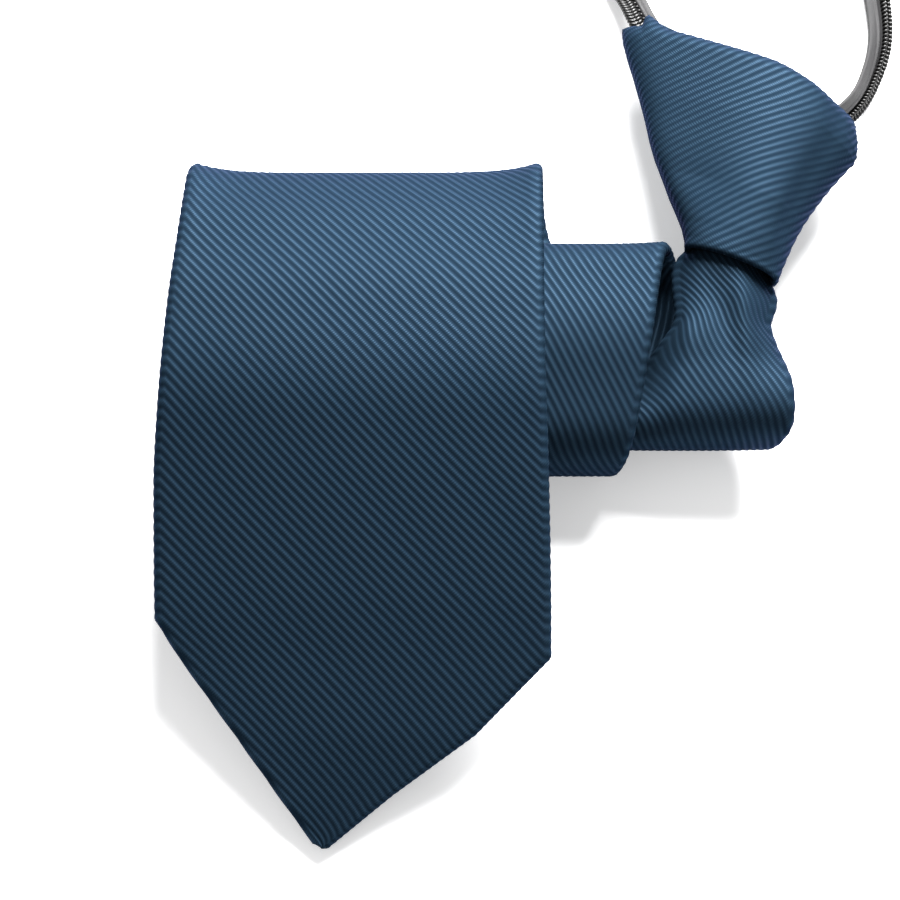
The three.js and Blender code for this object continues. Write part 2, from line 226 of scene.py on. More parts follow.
def makeTapeCloth():
    material, tree, shader = newMaterial("tapeCloth")
    uv = tree.nodes.new("ShaderNodeUVMap")
    uv.uv_map = "cloth"
    wave = tree.nodes.new("ShaderNodeTexWave")
    wave.inputs["Scale"].default_value = 1.4
    wave.inputs["Distortion"].default_value = 0.6
    tree.links.new(uv.outputs[0], wave.inputs["Vector"])
    colour = mixColour(tree, wave.outputs["Fac"],
                       (0.005, 0.005, 0.0055, 1), (0.014, 0.0135, 0.0145, 1))
    tree.links.new(colour, shader.inputs["Base Color"])
    bump = tree.nodes.new("ShaderNodeBump")
    bump.inputs["Strength"].default_value = 0.5
    bump.inputs["Distance"].default_value = 0.1 * mm
    tree.links.new(wave.outputs["Fac"], bump.inputs["Height"])
    tree.links.new(bump.outputs[0], shader.inputs["Normal"])
    shader.inputs["Roughness"].default_value = 0.6
    shader.inputs["Specular IOR Level"].default_value = 0.3
    return material


def makeCoilPlastic():
    material, tree, shader = newMaterial("coilPlastic")
    place = tree.nodes.new("ShaderNodeTexCoord")
    noise = tree.nodes.new("ShaderNodeTexNoise")
    noise.inputs["Scale"].default_value = 900
    tree.links.new(place.outputs["Object"], noise.inputs["Vector"])
    tree.links.new(mixColour(tree, noise.outputs[0], (0.002, 0.002, 0.002, 1), (0.006, 0.006, 0.0058, 1)),
                   shader.inputs["Base Color"])
    shader.inputs["Roughness"].default_value = 0.38
    shader.inputs["Specular IOR Level"].default_value = 0.32
    return material


def makeSliderMetal():
    material, tree, shader = newMaterial("sliderMetal")
    place = tree.nodes.new("ShaderNodeTexCoord")
    noise = tree.nodes.new("ShaderNodeTexNoise")
    noise.inputs["Scale"].default_value = 500
    tree.links.new(place.outputs["Object"], noise.inputs["Vector"])
    tree.links.new(mixColour(tree, noise.outputs[0], (0.02, 0.02, 0.022, 1), (0.06, 0.06, 0.062, 1)),
                   shader.inputs["Base Color"])
    shader.inputs["Metallic"].default_value = 0.7
    shader.inputs["Roughness"].default_value = 0.35
    return material


tieCloth = makeTieCloth()
tapeCloth = makeTapeCloth()
coilPlastic = makeCoilPlastic()
sliderMetal = makeSliderMetal()
print("materials ready")


def smoothed(values, steps):
    reach = int(steps * 3)
    if reach < 1:
        return np.array(values, float)
    weight = np.exp(-0.5 * (np.arange(-reach, reach + 1) / steps) ** 2)
    weight /= weight.sum()
    first = 2 * values[0] - values[reach:0:-1]
    last = 2 * values[-1] - values[-2:-reach - 2:-1]
    return np.convolve(np.concatenate([first, values, last]), weight, "valid")


# rings is rows x points x 3 in mm, uvs is rows x (points + 1) x 2
def ringMesh(name, rings, uvs, capEnds, material):
    rows, count = rings.shape[:2]
    spots = rings.reshape(-1, 3) * mm
    row, k = np.meshgrid(np.arange(rows - 1), np.arange(count), indexing="ij")
    following = (k + 1) % count
    quads = np.stack([row * count + k, row * count + following,
                      (row + 1) * count + following, (row + 1) * count + k], -1).reshape(-1, 4)
    quadUvs = np.stack([uvs[row, k], uvs[row, k + 1], uvs[row + 1, k + 1], uvs[row + 1, k]], 2)
    faces = quads.tolist()
    faceUvs = quadUvs.reshape(-1, 2)
    ends = []
    if capEnds:
        # pairs of points across the ring close the ends
        for edge, turned in ((0, True), (rows - 1, False)):
            base = edge * count
            half = count // 2
            for j in range(half - 1):
                a, b = base + j, base + j + 1
                c, d = base + count - 2 - j, base + count - 1 - j
                corners = [a, b, c, d] if c != b else [a, b, d]
                ends.append(corners[::-1] if turned else corners)
    extra = [uvs[spot // count, spot % count] for face in ends for spot in face]
    if extra:
        faceUvs = np.concatenate([faceUvs, np.array(extra)])
    mesh = bpy.data.meshes.new(name)
    mesh.from_pydata(spots.tolist(), [], faces + ends)
    layer = mesh.uv_layers.new(name="cloth")
    layer.data.foreach_set("uv", faceUvs.astype(np.float32).ravel())
    mesh.materials.append(material)
    mesh.shade_smooth()
    mesh.update()
    piece = bpy.data.objects.new(name, mesh)
    bpy.context.collection.objects.link(piece)
    return piece


def turnOut(piece):
    bpy.ops.object.select_all(action="DESELECT")
    bpy.context.view_layer.objects.active = piece
    piece.select_set(True)
    bpy.ops.object.mode_set(mode="EDIT")
    bpy.ops.mesh.select_all(action="SELECT")
    bpy.ops.mesh.normals_make_consistent(inside=False)
    bpy.ops.object.mode_set(mode="OBJECT")
    piece.select_set(False)


bandPlan = {
    "bladeWidth": 80,
    "thickness": 3,
    "layerGap": 0.4,
    "rollDepth": 64,
    "rollHeight": 33,
    "ribPitch": 1.6,
    "ribRelief": 0.17,
    "linesPerRib": 5,
    "frontPoints": 44,
    "backPoints": 18,
    "edgePoints": 4,
    "searchSteps": 26,  # halvings when a cord line is placed
    "foldSoftness": 3.5,  # mm that edges and folds are smoothed over
    "neckSoftness": 1.1,
    "leanSoftness": 12,
}

# shares of rollDepth, rollHeight and bladeWidth; wraps and layers count cloths inside and below
foldColumns = ("depth", "wraps", "lift", "layers", "bend", "left", "right", "flat", "flare", "curl", "droop")
foldRows = [
    (0.93, 0, 0.3, 0, 0, 0.69, 0.8, 0.34, 0, 0.02, 0),
    (0.53, 0, 0.25, 2, 0.3, 0.68, 0.82, 0.34, 0, 0.03, 0),
    (0.43, 0, 0.29, 2, 0.3, 0.645, 0.838, 0.345, 0, 0.035, 0),
    (0.395, 0, 0.305, 2, 0.3, 0.632, 0.84, 0.345, 0, 0.04, 0),
    (0.375, 0, 0.315, 2, 0.3, 0.606, 0.842, 0.345, 0, 0.045, 0),
    (0.345, 0, 0.328, 2, 0.3, 0.593, 0.843, 0.35, 0, 0.05, 0),
    (0.315, 0, 0.337, 2, 0.3, 0.586, 0.844, 0.35, 0, 0.055, 0),
    (0.275, 0, 0.35, 2, 0.3, 0.584, 0.845, 0.355, 0, 0.055, 0),
    (0.24, 0, 0.358, 2, 0.3, 0.585, 0.856, 0.355, 0, 0.055, 0),
    (0.2, 0, 0.366, 2, 0.3, 0.587, 0.864, 0.36, 0, 0.055, 0),
    (0.16, 0, 0.37, 2, 0.3, 0.589, 0.858, 0.36, 0, 0.05, 0),
    (0.125, 0, 0.372, 2, 0.3, 0.588, 0.846, 0.365, 0, 0.045, 0),
    (0.095, 0, 0.372, 2, 0.3, 0.58, 0.84, 0.367, 0, 0.045, 0),
    (0.07, 0, 0.37, 2, 0.3, 0.565, 0.846, 0.37, 0, 0.04, 0),
    (0.015, 0, 0.36, 2, 0.3, 0.53, 0.863, 0.375, 0, 0.035, 0),
    (-0.04, 0, 0.347, 2, 0.3, 0.5, 0.877, 0.385, 0, 0.03, 0),
    (-0.09, 0, 0.345, 2, 0.3, 0.48, 0.886, 0.4, 0, 0.02, 0),
    (-0.14, 0, 0.34, 2, 0.3, 0.46, 0.891, 0.42, 0, 0.01, 0),
    (-0.22, -1, 0.315, 2, 0.2, 0.44, 0.893, 0.453, 0, 0.005, 0),
    (-0.22, -1, 0, 1, 0.203, 0.365, 0.82, 0.475, 0, 0, 0),
    (0.328, 1, 0, 1, 0.265, 0.06, 0.625, 0.57, 0, 0, 0),
    (0.328, 1, 0.275, 3, 0.265, -0.04, 0.568, 0.61, 0.006, 0, 0),
    (0.05, 0, 0.425, 3, 0.9, -0.13, 0.526, 0.656, 0, 0, 0),
    (-0.247, -2, 0.226, 3, 0.27, -0.25, 0.47, 0.72, 0, 0, 0),
    (-0.247, -2, 0, 0, 0.27, -0.33, 0.42, 0.75, 0, 0, 0),
    (0.541, 2, 0, 0, 0.32, -0.65, 0.26, 0.91, 0.01, 0, 0),
    (0.541, 2, 0.318, 2, 0.32, -0.696, 0.247, 0.943, 0.028, 0, 0),
    (0.432, 0, 0.335, 4, 0.75, -0.705, 0.245, 0.95, 0.012, 0, 0.006),
    (0.16, 0, 0.485, 4, 1.3, -0.723, 0.242, 0.965, 0.004, 0, 0.018),
    (-0.13, 0, 0.518, 4, 1.6, -0.739, 0.243, 0.982, 0, 0, 0.024),
    (-0.44, 0, 0.44, 3, 2, -0.754, 0.251, 1.005, 0, 0, 0.03),
    (-0.84, 0, 0.34, 1.6, 2, -0.75, 0.257, 1.001, 0, 0, 0.026),
    (-0.9, 0, 0.31, 1.5, 0, -0.748, 0.257, 0.993, 0, 0, 0.024),
    (-1.014, 0, 0.262, 1.25, 0, -0.686, 0.257, 0.938, 0, 0, 0.02),
    (-1.245, 0, 0.165, 0.8, 0, -0.544, 0.065, 0.609, 0, 0, 0.01),
    (-1.425, 0, 0.075, 0.4, 0, -0.433, -0.146, 0.287, 0, 0, 0),
    (-1.578, 0, 0.004, 0, 0, -0.338, -0.306, 0.032, 0, 0, 0),
]


def foldValue(row, name):
    return foldRows[row][foldColumns.index(name)]


def foldPlace(row):
    plan = bandPlan
    layers = foldValue(row, "layers")
    step = plan["thickness"] + plan["layerGap"]
    depth = foldValue(row, "depth") * plan["rollDepth"] + foldValue(row, "wraps") * step
    height = plan["thickness"] / 2 + layers * step + foldValue(row, "lift") * plan["rollHeight"]
    return np.array([depth, height])


# the band's way seen from the side, with rounded bends, as (depth, height, row)
def bandWay(fine):
    corners = [foldPlace(row) for row in range(len(foldRows))]
    way = []

    def run(start, end, rowStart, rowEnd):
        steps = max(1, int(np.hypot(*(end - start)) / fine))
        for k in range(steps):
            share = k / steps
            way.append((*(start + (end - start) * share), rowStart + (rowEnd - rowStart) * share))

    last, lastRow = corners[0], 0
    for n in range(1, len(corners) - 1):
        back = corners[n - 1] - corners[n]
        ahead = corners[n + 1] - corners[n]
        backLength, aheadLength = np.hypot(*back), np.hypot(*ahead)
        back, ahead = back / backLength, ahead / aheadLength
        turn = math.pi - math.acos(max(-1, min(1, float(back @ ahead))))
        radius = foldValue(n, "bend") * bandPlan["rollHeight"]
        reach = radius * math.tan(turn / 2)
        if radius == 0 or turn < 0.01:
            run(last, corners[n], lastRow, n)
            last, lastRow = corners[n], n
            continue
        start = corners[n] + back * reach
        middle = (back + ahead) / np.hypot(*(back + ahead))
        centre = corners[n] + middle * radius / math.cos(turn / 2)
        side = -1 if back[0] * ahead[1] - back[1] * ahead[0] > 0 else 1
        rowStart, rowEnd = n - reach / backLength, n + reach / aheadLength
        run(last, start, lastRow, rowStart)
        steps = max(2, int(radius * turn / fine))
        for k in range(steps):
            angle = side * turn * k / steps
            arm = start - centre
            turned = np.array([arm[0] * math.cos(angle) - arm[1] * math.sin(angle),
                               arm[0] * math.sin(angle) + arm[1] * math.cos(angle)])
            way.append((*(centre + turned), rowStart + (rowEnd - rowStart) * k / steps))
        last, lastRow = corners[n] + ahead * reach, rowEnd
    run(last, corners[-1], lastRow, len(corners) - 1)
    way.append((*corners[-1], len(corners) - 1))
    return np.array(way)


def bandCurves():
    fine = 0.25
    way = bandWay(fine)
    length = np.concatenate([[0], np.cumsum(np.hypot(*np.diff(way[:, :2], axis=0).T))])
    even = np.arange(0, length[-1], fine)
    rows = np.interp(even, length, way[:, 2])
    rowNumbers = range(len(foldRows))
    columns = {name: np.interp(rows, rowNumbers, [foldValue(n, name) for n in rowNumbers])
               for name in ("left", "right", "flat", "flare", "curl", "droop")}
    soft = np.clip((even[rows < 31.6].max() - even) / 8, 0, 1)  # the corners of the tip stay sharp
    loose = np.clip((even[rows < 18].max() - even) / 10, 0, 1)  # the neck keeps its quick changes
    foldReach, neckReach = bandPlan["foldSoftness"] / fine, bandPlan["neckSoftness"] / fine
    for name, values in columns.items():
        rounded = smoothed(values, foldReach) * (1 - loose) + smoothed(values, neckReach) * loose
        columns[name] = (rounded * soft + values * (1 - soft)) * bandPlan["bladeWidth"]
    depth = smoothed(np.interp(even, length, way[:, 0]), 1.0 / fine)
    height = smoothed(np.interp(even, length, way[:, 1]), 1.0 / fine)
    slopeDepth, slopeHeight = np.gradient(depth, even), np.gradient(height, even)
    size = np.hypot(slopeDepth, slopeHeight)
    columns.update(s=even, depth=depth, height=height, outDepth=slopeHeight / size, outHeight=-slopeDepth / size)
    centre = (columns["left"] + columns["right"]) / 2
    # past the cut the cloth only gets narrower, and its cords keep their line
    cut = int(np.searchsorted(rows, 31.2))
    kept = np.concatenate([centre[:cut], np.full(len(centre) - cut, centre[cut])])
    middle = smoothed(kept, bandPlan["leanSoftness"] / fine)
    columns["lean"] = np.arctan(-np.gradient(middle, even))
    columns["offset"] = np.where(np.arange(len(centre)) < cut, 0, centre - centre[cut])
    columns["run"] = np.concatenate([[0], np.cumsum(fine / np.cos(columns["lean"][:-1]))])
    return columns


# hollows and ridges of the gathered neck in mm: x, depth, reach across, reach along, turn, height
neckFolds = [
    (56.3, 9, 3.4, 9, 0.22, -1.3),
    (61.5, 5, 2.4, 13, 0.05, 0.9),
    (67.0, -20, 10, 12, 0, 5.0),
    (69.6, 1.5, 1.8, 4.5, 0.25, -2.6),
    (39.5, -6, 5.0, 24, 0, -7),
    (48.7, 8, 2.0, 9, 0.1, 0.8),
    (58.5, 20.5, 8, 4.2, -0.39, 0.8),
]


def neckRelief(x, depth):
    total = np.zeros_like(x)
    for x0, depth0, wide, long, turn, height in neckFolds:
        dx, dy = x - x0, depth - depth0
        across = dx * math.cos(turn) + dy * math.sin(turn)
        along = -dx * math.sin(turn) + dy * math.cos(turn)
        total += height * np.exp(-(across / wide) ** 2 - (along / long) ** 2)
    return total


def ribShape(phase):
    # rounded cord with a narrow groove, from 0 in the groove to 1 on the cord
    return np.sqrt(np.clip(0.5 + 0.5 * np.cos(phase * math.tau), 0, 1))


def makeBand():
    plan = bandPlan
    curves = bandCurves()
    fineRun = curves["s"]

    def at(name, s):
        return np.interp(s, fineRun, curves[name])

    spacing = plan["ribPitch"] * math.sqrt(2) / plan["linesPerRib"]
    half = plan["thickness"] / 2
    front = np.linspace(-1, 1, plan["frontPoints"])
    backPts = np.linspace(1, -1, plan["backPoints"])
    edgeAngles = np.linspace(0, math.pi, plan["edgePoints"] + 2)[1:-1]
    u = np.concatenate([front, np.ones(plan["edgePoints"]), backPts, -np.ones(plan["edgePoints"])])
    lift = np.concatenate([np.ones_like(front), np.cos(edgeAngles),
                           -np.ones_like(backPts), -np.cos(edgeAngles)])
    out = np.concatenate([np.zeros_like(front), np.sin(edgeAngles),
                          np.zeros_like(backPts), -np.sin(edgeAngles)])

    # how far along the cords a point lies: run minus its place across the cloth
    def cordPlace(s, across):
        lean = at("lean", s)
        return at("run", s) - (across * at("flat", s) / 2 + at("offset", s)) * (np.sin(lean) + np.cos(lean))

    low = cordPlace(fineRun[0], -1) + 0.5
    high = cordPlace(fineRun[-1], -1) - 0.1
    lines = np.arange(low, high, spacing)
    below = np.zeros((len(lines), len(u)))
    above = np.full((len(lines), len(u)), fineRun[-1])
    target = lines[:, None] * np.ones(len(u))
    for _ in range(plan["searchSteps"]):
        middle = (below + above) / 2
        over = cordPlace(middle, u[None, :]) > target
        above = np.where(over, middle, above)
        below = np.where(over, below, middle)
    s = (below + above) / 2
    left, right = at("left", s), at("right", s)
    inset = np.minimum(half, (right - left) * 0.45)
    x = (left + right) / 2 + u * ((right - left) / 2 - inset) + out * inset
    depth, height = at("depth", s), at("height", s)
    side = np.abs(u)[None, :]
    bow = at("flare", s) * side ** 6 - at("curl", s) * side ** 2.4
    bow = bow - at("droop", s) * np.clip((0.25 - u) / 1.25, 0, 1)[None, :] ** 2
    neck = np.clip((80 - s) / 20, 0, 1)
    bow = bow + neckRelief(x, depth) * neck
    cord = lines[:, None] / (plan["ribPitch"] * math.sqrt(2))
    phase = cord * np.ones(len(u))
    relief = (ribShape(phase) - 0.6) * plan["ribRelief"]
    away = bow + lift * (half + relief)
    x = x + out * relief
    rings = np.stack([x, depth + at("outDepth", s) * away, height + at("outHeight", s) * away], -1)
    wide = at("flat", s) / 2
    alongCord = (at("run", s) + u * wide + at("offset", s)) / (plan["ribPitch"] * math.sqrt(2))
    alongCord = alongCord + out * inset / plan["ribPitch"]
    uvs = np.stack([phase, alongCord], -1)
    uvs = np.concatenate([uvs, uvs[:, :1]], 1)
    piece = ringMesh("blade_cloth", rings, uvs, True, tieCloth)
    turnOut(piece)
    return piece


bandCloth = makeBand()
print("band", len(bandCloth.data.polygons), "faces")

strapPlan = {
    "tapeWidth": 3.6,
    "coilWidth": 2.4,
    "gap": 0.3,
    "lean": 52,
    "loopWidth": 96,
    "loopLength": 150,
    "loopStart": 60,
    "knotThickness": 20,
    "toothPitch": 0.95,
    "headPitch": 1.38,
    "faceWiden": 2.0,  # the coil shows its broad face beside the left corner of the knot
    "faceReach": 70,
    "toothSlant": 26,  # degrees
    "tapeStep": 0.9,
    "coreStep": 1.2,
    "coreSides": 12,
}

# shares of loopWidth, loopLength and knotThickness, and of the lean
strapRows = [
    (0.61, -0.045, 0.53, 0),
    (0.555, 0.03, 0.53, 0),
    (0.505, 0.1, 0.47, 0),
    (0.462, 0.155, 0.38, 0),
    (0.433, 0.21, 0.22, 0),
    (0.385, 0.27, 0.09, 0),
    (0.295, 0.355, 0.05, 0),
    (0.17, 0.48, 0.05, 0),
    (0.065, 0.62, 0.05, 0),
    (0.025, 0.77, 0.05, 0),
    (0.08, 0.905, 0.05, 0),
    (0.235, 0.985, 0.05, 0),
    (0.445, 0.97, 0.05, 0),
    (0.64, 0.87, 0.05, 0),
    (0.78, 0.73, 0.05, 0),
    (0.88, 0.56, 0.05, 0),
    (0.952, 0.38, 0.05, 0),
    (0.988, 0.225, 0.06, 0.1),
    (0.99, 0.145, 0.12, 0.5),
    (0.966, 0.085, 0.2, 0.85),
    (0.925, 0.03, 0.34, 1),
    (0.86, -0.012, 0.47, 0.9),
    (0.77, -0.04, 0.53, 0.6),
]


def strapCurve(step):
    plan = strapPlan
    knots = np.array([(a * plan["loopWidth"], plan["loopStart"] + b * plan["loopLength"],
                       c * plan["knotThickness"], d) for a, b, c, d in strapRows])
    padded = np.vstack([2 * knots[0] - knots[1], knots, 2 * knots[-1] - knots[-2]])
    spots = []
    for n in range(1, len(padded) - 2):
        p0, p1, p2, p3 = padded[n - 1:n + 3]
        t1 = np.linalg.norm((p1 - p0)[:3]) ** 0.5
        t2 = t1 + np.linalg.norm((p2 - p1)[:3]) ** 0.5
        t3 = t2 + np.linalg.norm((p3 - p2)[:3]) ** 0.5
        for t in np.linspace(t1, t2, 60, endpoint=False):
            a1 = (t1 - t) / t1 * p0 + t / t1 * p1
            a2 = (t2 - t) / (t2 - t1) * p1 + (t - t1) / (t2 - t1) * p2
            a3 = (t3 - t) / (t3 - t2) * p2 + (t - t2) / (t3 - t2) * p3
            b1 = (t2 - t) / t2 * a1 + t / t2 * a2
            b2 = (t3 - t) / (t3 - t1) * a2 + (t - t1) / (t3 - t1) * a3
            spots.append((t2 - t) / (t2 - t1) * b1 + (t - t1) / (t2 - t1) * b2)
    spots.append(knots[-1])
    spots = np.array(spots)
    length = np.concatenate([[0], np.cumsum(np.linalg.norm(np.diff(spots[:, :3], axis=0), axis=1))])
    even = np.linspace(0, length[-1], int(length[-1] / step) + 1)
    return even, np.stack([np.interp(even, length, spots[:, k]) for k in range(4)], -1)


def strapFrames(step):
    along, spots = strapCurve(step)
    place = spots[:, :3]
    ahead = np.gradient(place, along, axis=0)
    ahead /= np.linalg.norm(ahead, axis=1)[:, None]
    inward = np.cross(ahead, [0, 0, 1])
    inward /= np.linalg.norm(inward, axis=1)[:, None]
    lean = -np.radians(strapPlan["lean"]) * spots[:, 3:4]
    inward = inward * np.cos(lean) + np.cross(ahead, inward) * np.sin(lean)
    rise = np.cross(inward, ahead)
    return along, place, ahead, inward, rise


# where the tape starts across the strap, and how wide the coil is
def strapParts(along):
    plan = strapPlan
    face = np.clip(1 - along / plan["faceReach"], 0, 1)
    face = face * face * (3 - 2 * face) * plan["faceWiden"]
    edge = -plan["tapeWidth"] / 2 + face * 0.7
    return edge, plan["coilWidth"] + face


# tape section as shares of its width, and height in mm, from the coil to the inner edge
tapeTop = [(-0.3, -0.42), (-0.12, -0.36), (0.0, -0.3), (0.1, -0.12), (0.17, 0.14), (0.21, 0.44), (0.3, 0.56),
           (0.37, 0.5), (0.42, 0.38), (0.5, 0.46), (0.66, 0.5), (0.85, 0.46), (0.95, 0.36), (1.0, 0.05)]
tapeUnder = [(0.96, -0.45), (0.8, -0.64), (0.6, -0.7), (0.3, -0.72), (0.0, -0.72), (-0.3, -0.66)]


def makeTape():
    along, place, _, inward, rise = strapFrames(strapPlan["tapeStep"])
    section = np.array(tapeTop + tapeUnder)
    edge, _ = strapParts(along)
    width = strapPlan["tapeWidth"] / 2 - edge
    across = edge[:, None] + section[None, :, 0] * width[:, None]
    rings = place[:, None] + inward[:, None] * across[:, :, None] + rise[:, None] * section[None, :, 1:]
    around = np.concatenate([[0], np.cumsum(np.hypot(*(np.diff(np.vstack([section, section[:1]]), axis=0)
                                                       * (strapPlan["tapeWidth"], 1)).T))])
    uvs = np.stack(np.broadcast_arrays(along[:, None], around[None, :]), -1)
    piece = ringMesh("zipper_tape_cloth", rings, uvs, True, tapeCloth)
    turnOut(piece)
    return piece


class BeadSet:
    def __init__(self, rings, around):
        self.spots, self.faces, self.rings, self.around = [], [], rings, around

    def add(self, centre, longWay, wideWay, upWay, long, wide, tall):
        base, rings, around = len(self.spots), self.rings, self.around
        for r in range(1, rings):
            angle = math.pi * r / rings
            for k in range(around):
                turn = math.tau * k / around
                self.spots.append(centre - longWay * long * math.cos(angle)
                                  + wideWay * wide * math.sin(angle) * math.cos(turn)
                                  + upWay * tall * math.sin(angle) * math.sin(turn))
        self.spots.append(centre - longWay * long)
        self.spots.append(centre + longWay * long)
        first = base + (rings - 1) * around
        for k in range(around):
            n = (k + 1) % around
            for r in range(rings - 2):
                self.faces.append((base + r * around + k, base + r * around + n,
                                   base + (r + 1) * around + n, base + (r + 1) * around + k))
            self.faces.append((first, base + n, base + k))
            self.faces.append((first + 1, base + (rings - 2) * around + k, base + (rings - 2) * around + n))

    def mesh(self, name, material):
        mesh = bpy.data.meshes.new(name)
        mesh.from_pydata((np.array(self.spots) * mm).tolist(), [], self.faces)
        mesh.materials.append(material)
        mesh.shade_smooth()
        mesh.update()
        piece = bpy.data.objects.new(name, mesh)
        bpy.context.collection.objects.link(piece)
        turnOut(piece)
        return piece


def makeCoil():
    plan = strapPlan
    # two slanted lobes for each tooth
    along, place, ahead, inward, rise = strapFrames(plan["toothPitch"])
    edge, width = strapParts(along)
    teeth = BeadSet(5, 8)
    for k in range(1, len(along) - 1):
        middle = edge[k] - plan["gap"] * 0.3 - width[k] / 2
        for side in (1, -1):
            slant = math.radians(plan["toothSlant"])
            longWay = inward[k] * side * math.cos(slant) + ahead[k] * math.sin(slant)
            wideWay = np.cross(rise[k], longWay)
            centre = place[k] + inward[k] * (middle + side * width[k] * 0.235) + rise[k] * 0.12
            teeth.add(centre, longWay, wideWay, rise[k], width[k] * 0.3, 0.46, 0.78 - 0.1 * (width[k] - 2.4))
    lobes = teeth.mesh("zipper_coil_teeth", coilPlastic)
    # tooth heads that peep out beside the tape where the coil lies on its broad face
    along, place, ahead, inward, rise = strapFrames(plan["headPitch"])
    edge, width = strapParts(along)
    heads = BeadSet(4, 8)
    for k in range(1, len(along) - 1):
        if width[k] > plan["coilWidth"] + 0.1:
            centre = place[k] + inward[k] * (edge[k] + 0.1) + rise[k] * 0.5
            heads.add(centre, inward[k], ahead[k], rise[k], 0.42, 0.3, 0.34)
    tips = heads.mesh("zipper_coil_heads", coilPlastic)
    # core cord that the teeth wrap
    along, place, _, inward, rise = strapFrames(plan["coreStep"])
    edge, width = strapParts(along)
    angles = np.linspace(0, math.tau, plan["coreSides"], endpoint=False)
    middle = edge - plan["gap"] * 0.3 - width / 2
    across = middle[:, None] + width[:, None] * 0.34 * np.cos(angles)[None, :]
    height = 0.42 * np.sin(angles) - 0.1
    rings = place[:, None] + inward[:, None] * across[:, :, None] + rise[:, None] * height[None, :, None]
    uvs = np.stack(np.broadcast_arrays(along[:, None], np.arange(plan["coreSides"] + 1.0)[None, :]), -1)
    core = ringMesh("zipper_coil_core", rings, uvs, True, coilPlastic)
    turnOut(core)
    return [lobes, tips, core]


tape = makeTape()
coilPieces = makeCoil()
print("strap ready")

knotPlan = {
    "tilt": 22,
    "bottom": (58.6, 19.3, 19.2),
    "top": (62.6, 68.1, 12.2),
    "wall": 1.5,
    "around": 288,
    "rows": 190,
    "innerRows": 12,
    "ribRelief": 0.19,
    "square": 2.5,  # of the back
    "skew": 4.2,  # mm, the front is highest right of the middle
    "furrow": 0.6,  # mm, along the right edge
}

# share of the way up and mm across, down the left and right sides
knotLeft = [(-0.02, -10.0), (0.05, -9.9), (0.12, -10.8), (0.18, -12.2), (0.25, -14.0), (0.33, -15.7), (0.42, -17.7),
            (0.5, -19.0), (0.6, -20.3), (0.7, -21.8), (0.8, -23.4), (0.9, -25.0), (1.0, -26.3), (1.07, -26.8)]
knotRight = [(-0.02, 10.9), (0.05, 11.5), (0.16, 13.1), (0.25, 14.5), (0.35, 16.3), (0.45, 18.4), (0.55, 20.6),
             (0.65, 22.9), (0.75, 25.3), (0.83, 27.2), (0.89, 28.0), (0.97, 28.2), (1.07, 27.6)]
# mm across and share of the way, along the top edge
knotCrest = [(-26.7, 1.02), (-23.7, 1.05), (-20.6, 1.066), (-15, 1.078), (-8, 1.076), (1.4, 1.075), (8, 1.074),
             (11, 1.066), (17, 1.038), (22.2, 1.0), (26.6, 0.968), (28, 0.94)]
# a small ear of folded cloth stands above the top edge beside the strap
knotEar = [(-22.3, 0), (-21.6, 0.055), (-20.8, 0.068), (-18.6, 0.035), (-16.6, 0)]
# share of the way, and height of the front and the back from the middle
knotThick = [(0, 4.9, 7.2), (0.06, 5.6, 7.8), (0.15, 6.4, 8.4), (0.3, 7.3, 9.0), (0.5, 8.5, 9.6), (0.7, 9.6, 9.6),
             (0.85, 10.1, 8.8), (1.08, 10.4, 8.2)]


def knotSpots(v, inward, squeeze, angles):
    plan = knotPlan
    tilt = math.radians(plan["tilt"])
    sideways = np.array([math.cos(tilt), -math.sin(tilt), 0])
    bottom, top = np.array(plan["bottom"]), np.array(plan["top"])
    reach = v * 1.075
    left = np.interp(reach, *zip(*knotLeft)) + inward
    right = np.interp(reach, *zip(*knotRight)) - inward
    w, s = np.cos(angles), np.sin(angles)
    a = (left + right) / 2 + w * (right - left) / 2
    way = v * np.interp(a, *zip(*knotCrest)) + v ** 12 * np.interp(a, *zip(*knotEar))
    front = np.interp(reach, [k[0] for k in knotThick], [k[1] for k in knotThick]) - inward
    back = np.interp(reach, [k[0] for k in knotThick], [k[2] for k in knotThick]) - inward
    grown = np.clip((reach - 0.04) / 0.3, 0, 1)
    crown = front * np.sqrt(1 - w * w) + plan["skew"] * w * (1 - w * w) * grown
    crown = crown - plan["furrow"] * np.exp(-((w - 0.8) / 0.1) ** 2) * grown
    base = back * (1 - np.abs(w) ** plan["square"]) ** (1 / plan["square"])
    height = np.where(s > 0, crown, -base) * squeeze
    return (bottom[None, :] + way[:, None] * (top - bottom)[None, :] + a[:, None] * sideways[None, :]
            + height[:, None] * np.array([0, 0, 1.0])), way


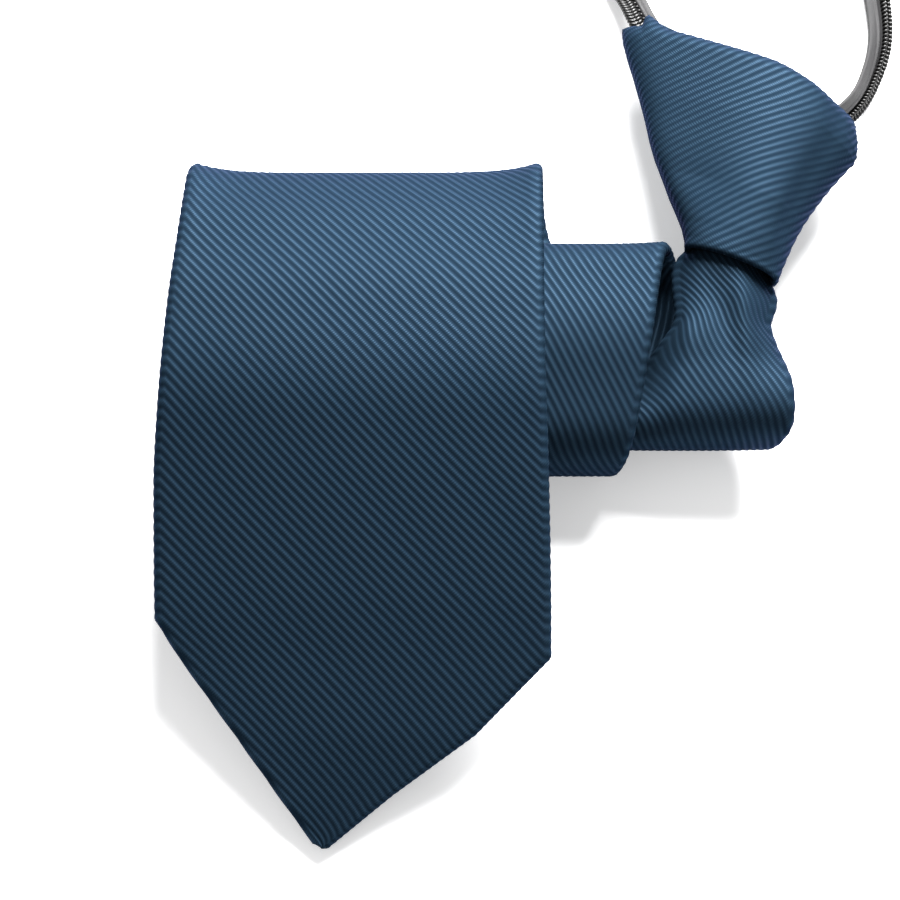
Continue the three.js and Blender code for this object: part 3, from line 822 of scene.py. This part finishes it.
def makeKnot():
    plan = knotPlan
    around = plan["around"]
    # the seam lies at the middle of the back
    angles = -math.pi / 2 + math.tau * np.arange(around) / around
    rings, ways = [], []

    def add(v, inward, squeeze):
        ring, way = knotSpots(v, inward, squeeze, angles)
        rings.append(ring)
        ways.append(way)

    # inner wall from its top down to the mouth, the lip, then the outer wall up to the crest
    for v in np.linspace(0.9, 0.03, plan["innerRows"]):
        add(v, plan["wall"], 1 if v < 0.8 else max(0.05, math.sqrt(max(0, 1 - ((v - 0.8) / 0.101) ** 2))))
    for turn in np.linspace(0, math.pi, 7)[1:-1]:
        add(0.018 - 0.014 * math.sin(turn), plan["wall"] / 2 * (1 + math.cos(turn)), 1)
    for v in np.linspace(0.02, 0.9, plan["rows"]):
        add(v, 0, 1)
    for turn in np.linspace(0, math.pi / 2, 26)[1:]:
        add(0.9 + 0.1 * math.sin(turn), 0, max(0.004, math.cos(turn)) ** 0.8)
    rings, ways = np.array(rings), np.array(ways)
    step = np.linalg.norm(np.roll(rings, -1, 1) - rings, axis=2)
    across = np.concatenate([np.zeros((len(rings), 1)), np.cumsum(step, 1)], 1)
    across = across[:, [around // 2]] - across
    ways = np.concatenate([ways, ways[:, :1]], 1)
    tilt = math.radians(plan["tilt"])
    travel = np.array(plan["top"]) - np.array(plan["bottom"])
    sway = travel[0] * math.cos(tilt) - travel[1] * math.sin(tilt)
    climb = travel[0] * math.sin(tilt) + travel[1] * math.cos(tilt)
    a, b = across + ways * sway, ways * climb * 1.04
    pitch = bandPlan["ribPitch"] * math.sqrt(2)
    uvs = np.stack([(b - a) / pitch, (b + a) / pitch], -1)
    # lift the cords out of the outer wall
    out = np.cross(np.roll(rings, -1, 1) - np.roll(rings, 1, 1), np.gradient(rings, axis=0))
    out /= np.linalg.norm(out, axis=2)[:, :, None] + 1e-9
    relief = (ribShape(uvs[:, :-1, 0]) - 0.6) * plan["ribRelief"]
    # no relief on the inner wall, and little where the crest closes
    stops = [13, 18, len(rings) - 8, len(rings) - 1]
    relief = relief * np.interp(np.arange(len(rings)), stops, [0, 1, 1, 0.2])[:, None]
    rings = rings + out * relief[:, :, None]
    piece = ringMesh("knot_cloth", rings, uvs, True, tieCloth)
    turnOut(piece)
    return piece


knotCloth = makeKnot()
print("knot", len(knotCloth.data.polygons), "faces")

for slotNumber in range(len(bpy.data.objects["zipper_slider"].material_slots)):
    bpy.data.objects["zipper_slider"].material_slots[slotNumber].material = sliderMetal

lightPlan = {
    "key": {"place": (0.2, 0.66, 0.56), "size": 0.5, "power": 66},
    "fill": {"place": (-0.6, -0.4, 0.8), "size": 0.8, "power": 1},
    "world": 0.5,
    "floorGlow": 0.37,
    "floor": (0.9, 0.9, 0.905, 1),
}


def makeFloor():
    bpy.ops.mesh.primitive_plane_add(size=6, location=(0, 0, -0.0002))
    floor = bpy.context.active_object
    floor.name = "floor"
    bpy.ops.object.transform_apply(location=True, rotation=True, scale=True)
    material, _, shader = newMaterial("paleFloor")
    shader.inputs["Base Color"].default_value = lightPlan["floor"]
    shader.inputs["Roughness"].default_value = 0.6
    shader.inputs["Specular IOR Level"].default_value = 0.2
    shader.inputs["Emission Color"].default_value = (1, 1, 1, 1)
    shader.inputs["Emission Strength"].default_value = lightPlan["floorGlow"]
    floor.data.materials.append(material)
    floor.select_set(False)


def makeLight(name, plan):
    data = bpy.data.lights.new(name, "AREA")
    data.size = plan["size"]
    data.energy = plan["power"]
    light = bpy.data.objects.new(name, data)
    light.location = plan["place"]
    light.rotation_euler = (-Vector(plan["place"])).to_track_quat("-Z", "Y").to_euler()
    bpy.context.collection.objects.link(light)


def makeWorld():
    world = bpy.data.worlds.new("studio")
    world.use_nodes = True
    world.node_tree.nodes["Background"].inputs["Color"].default_value = (1, 1, 1, 1)
    world.node_tree.nodes["Background"].inputs["Strength"].default_value = lightPlan["world"]
    bpy.context.scene.world = world
    bpy.context.scene.view_settings.view_transform = "Standard"


makeFloor()
makeLight("key", lightPlan["key"])
makeLight("fill", lightPlan["fill"])
makeWorld()
print("stage ready")

for piece, node, slot in (
    (bandCloth, "blade", "tie_cloth"),
    (knotCloth, "knot_wrap", "tie_cloth"),
    (tape, "zipper_tape", "tape_cloth"),
    *((piece, "zipper_coil", "coil_plastic") for piece in coilPieces),
):
    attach(piece, "root")
    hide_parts(node)
